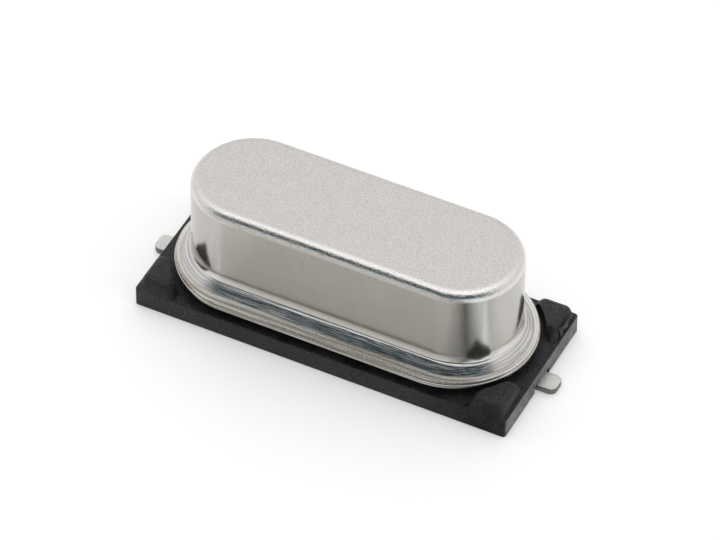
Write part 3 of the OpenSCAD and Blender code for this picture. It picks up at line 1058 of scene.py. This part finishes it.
def seen_rays(tree):
    """One for what is seen straight, mirrored or through glass, and nought for the light on the object."""
    path = add_node(tree, "ShaderNodeLightPath").outputs
    seen = add_maths(tree, "MAXIMUM", path["Is Camera Ray"], path["Is Glossy Ray"])
    return add_maths(tree, "MAXIMUM", seen, path["Is Transmission Ray"])


def floor_finish():
    """Pale matt floor with a hardly visible grain, lifted to white where it is seen."""
    dark, pale = (0.90, 0.90, 0.90), (0.92, 0.92, 0.92)
    material, tree, surface, millimetres = new_finish("pale_floor")
    grain = use_group(tree, GRAIN, millimetres, Scale=2.0)
    tree.links.new(add_mix(tree, grain["Mottle"], dark, pale), surface["Base Color"])
    surface["Roughness"].default_value = 0.9
    surface["Specular IOR Level"].default_value = 0
    surface["Emission Color"].default_value = (*WHITE, 1)
    tree.links.new(add_level(tree, seen_rays(tree), off=0, on=FLOOR_LIFT), surface["Emission Strength"])
    return material


def lay_floor():
    """The floor under the tabs."""
    clear_selection()
    bpy.ops.mesh.primitive_plane_add(size=FLOOR_SIZE * MILLIMETRE, location=(0, 0, 0))
    floor = bpy.context.active_object
    floor.name = "floor"
    wear(floor, floor_finish())


def add_likeness(tree, bearing, target):
    """One where a level direction points at the target, and nought at right angles to it."""
    node = add_vector_maths(tree, "DOT_PRODUCT", bearing)
    node.inputs[1].default_value = target
    return node.outputs["Value"]


def mirrored_room(tree):
    """The room as the metal shows it: a near side dark above a grey skirting, and a window at the corner."""
    direction = add_node(tree, "ShaderNodeTexCoord").outputs["Generated"]
    rise = split(tree, direction)["Z"]
    levelled = add_vector_maths(tree, "MULTIPLY", direction)
    levelled.inputs[1].default_value = (1, 1, 0)
    bearing = add_vector_maths(tree, "NORMALIZE", levelled.outputs["Vector"]).outputs["Vector"]
    near_side = add_mask(tree, add_likeness(tree, bearing, NEAR_SIDE), none=0.40, full=0.55)
    cornerwards = add_likeness(tree, bearing, CORNER_SIDE)

    tone = add_mix(tree, add_mask(tree, rise, none=0.05, full=0.6), ROOM_LOW, WHITE)
    tone = add_mix(tree, add_mask(tree, rise, none=0.78, full=0.92), tone, CEILING)
    skirting = add_maths(tree, "MULTIPLY", add_mask(tree, rise, none=0.34, full=0.27), near_side)
    low_corner = add_mask(tree, cornerwards, none=0.48, full=0.68)
    tone = add_mix(tree, skirting, tone, add_mix(tree, low_corner, NEAR_SKIRTING, CORNER_SKIRTING))
    over_skirting = add_mask(tree, rise, none=0.27, full=0.34)
    under_ceiling = add_mask(tree, rise, none=0.86, full=0.76)
    dark = add_maths(tree, "MULTIPLY", add_maths(tree, "MULTIPLY", over_skirting, under_ceiling), near_side)
    tone = add_mix(tree, dark, tone, NEAR_WALL)
    pane_side = add_mask(tree, cornerwards, none=0.95, full=0.97)
    pane_height = add_mask(tree, rise, none=0.22, full=0.18)
    return add_mix(tree, add_maths(tree, "MULTIPLY", pane_side, pane_height), tone, WINDOW_LIGHT)


def light_room():
    """A white room that fills the shadows, with its own colours where the metal mirrors it."""
    world = bpy.data.worlds.new("white_room")
    bpy.context.scene.world = world
    world.use_nodes = True
    tree = world.node_tree
    ground = tree.nodes["Background"].inputs
    mirrored = add_node(tree, "ShaderNodeLightPath").outputs["Is Glossy Ray"]
    tree.links.new(add_mix(tree, mirrored, WHITE, mirrored_room(tree)), ground["Color"])
    tree.links.new(add_level(tree, seen_rays(tree), off=WORLD_FILL, on=1), ground["Strength"])


# The part and its picture

GRAIN = build_grain_group()
STREAKS = build_streak_group()
ROLLED = build_rolled_group()
SPECKS = build_speck_group()

wear(model_can(), can_finish())
wear(model_header(), header_finish())
wear(model_base(), base_finish())
tin_plate = lead_finish()
for lead in model_leads():
    wear(lead, tin_plate)

hidden_finishes = {
    "glass_seal": seal_finish(), "support_clip": clip_finish(), "quartz_blank": quartz_finish(),
    "electrode": electrode_finish(), "adhesive": adhesive_finish()}
for name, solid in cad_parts.items():
    for start, material in hidden_finishes.items():
        if name.startswith(start):
            wear(solid, material)

lay_floor()
light_room()
softbox("back_softbox", direction=(-0.31, 0.61, 0.72), width=80, height=70, brightness=0.6)
softbox("overhead_softbox", direction=(-0.05, 0.0, 1.0), width=60, height=50, brightness=1.0,
        colour=(1.0, 0.97, 0.94))
softbox("right_softbox", direction=(0.9, 0.1, 0.45), width=60, height=50, brightness=0.8)
lay_cards()
place_camera()
bpy.context.scene.view_settings.view_transform = "Standard"
